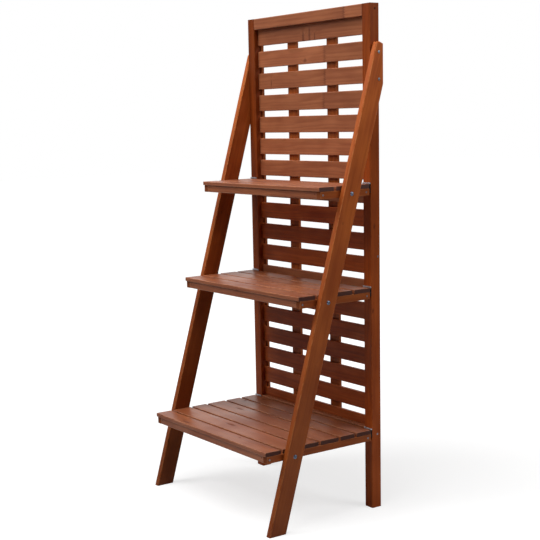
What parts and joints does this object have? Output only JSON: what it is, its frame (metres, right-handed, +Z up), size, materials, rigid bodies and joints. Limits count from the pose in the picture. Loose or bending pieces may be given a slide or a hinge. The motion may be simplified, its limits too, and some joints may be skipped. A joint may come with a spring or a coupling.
{
  "type": "tiered plant stand",
  "caption": "Tall wooden plant stand with a slatted trellis back, leaning side legs and slatted shelves that deepen downwards and fold up against the back on hinges.",
  "frame": {"origin": "on the floor, at the middle of the footprint", "axes": "+X to the right of someone facing the shelves, +Y towards the trellis at the back, +Z up"},
  "size_m": [0.6552, 0.445, 1.524],
  "materials": {
    "stained_wood": "satin red-brown stain",
    "hinge_steel": "bright zinc plate",
    "fixing_steel": "zinc plate"
  },
  "bodies": {
    "stand": {"bottom_hinge_post_leaves": "hinge_steel", "leg_bolts": "fixing_steel", "leg_left": "stained_wood", "leg_right": "stained_wood", "middle_hinge_post_leaves": "hinge_steel", "post_left": "stained_wood", "post_right": "stained_wood", "rail_lower": "stained_wood", "rail_top": "stained_wood", "top_hinge_post_leaves": "hinge_steel", "trellis_batten_left": "stained_wood", "trellis_batten_right": "stained_wood", "trellis_cleat_left": "stained_wood", "trellis_cleat_right": "stained_wood", "trellis_slat_01": "stained_wood", "trellis_slat_02": "stained_wood", "trellis_slat_03": "stained_wood", "trellis_slat_04": "stained_wood", "trellis_slat_05": "stained_wood", "trellis_slat_06": "stained_wood", "trellis_slat_07": "stained_wood", "trellis_slat_08": "stained_wood", "trellis_slat_09": "stained_wood", "trellis_slat_10": "stained_wood", "trellis_slat_11": "stained_wood", "trellis_slat_12": "stained_wood", "trellis_slat_13": "stained_wood", "trellis_slat_14": "stained_wood", "trellis_slat_15": "stained_wood", "trellis_slat_16": "stained_wood", "trellis_slat_17": "stained_wood", "trellis_slat_18": "stained_wood"},
    "top_shelf": {"top_hinge_shelf_leaves": "hinge_steel", "top_shelf_front_rail": "stained_wood", "top_shelf_rear_rail": "stained_wood", "top_shelf_side_rail_left": "stained_wood", "top_shelf_side_rail_right": "stained_wood", "top_shelf_slat_1": "stained_wood", "top_shelf_slat_2": "stained_wood", "top_shelf_slat_3": "stained_wood"},
    "middle_shelf": {"middle_hinge_shelf_leaves": "hinge_steel", "middle_shelf_front_rail": "stained_wood", "middle_shelf_rear_rail": "stained_wood", "middle_shelf_side_rail_left": "stained_wood", "middle_shelf_side_rail_right": "stained_wood", "middle_shelf_slat_1": "stained_wood", "middle_shelf_slat_2": "stained_wood", "middle_shelf_slat_3": "stained_wood", "middle_shelf_slat_4": "stained_wood"},
    "bottom_shelf": {"bottom_hinge_shelf_leaves": "hinge_steel", "bottom_shelf_front_rail": "stained_wood", "bottom_shelf_rear_rail": "stained_wood", "bottom_shelf_side_rail_left": "stained_wood", "bottom_shelf_side_rail_right": "stained_wood", "bottom_shelf_slat_1": "stained_wood", "bottom_shelf_slat_2": "stained_wood", "bottom_shelf_slat_3": "stained_wood", "bottom_shelf_slat_4": "stained_wood", "bottom_shelf_slat_5": "stained_wood", "bottom_shelf_slat_6": "stained_wood"}
  },
  "joints": [
    {"name": "top_shelf_fold", "type": "hinge", "parent": "stand", "child": "top_shelf", "pos_m": [0, 0.18495, 1.00325], "axis": [-1, 0, 0], "range_deg": [0, 90]},
    {"name": "middle_shelf_fold", "type": "hinge", "parent": "stand", "child": "middle_shelf", "pos_m": [0, 0.18495, 0.69225], "axis": [-1, 0, 0], "range_deg": [0, 90]},
    {"name": "bottom_shelf_fold", "type": "hinge", "parent": "stand", "child": "bottom_shelf", "pos_m": [0, 0.18495, 0.25225], "axis": [-1, 0, 0], "range_deg": [0, 90]}
  ]
}
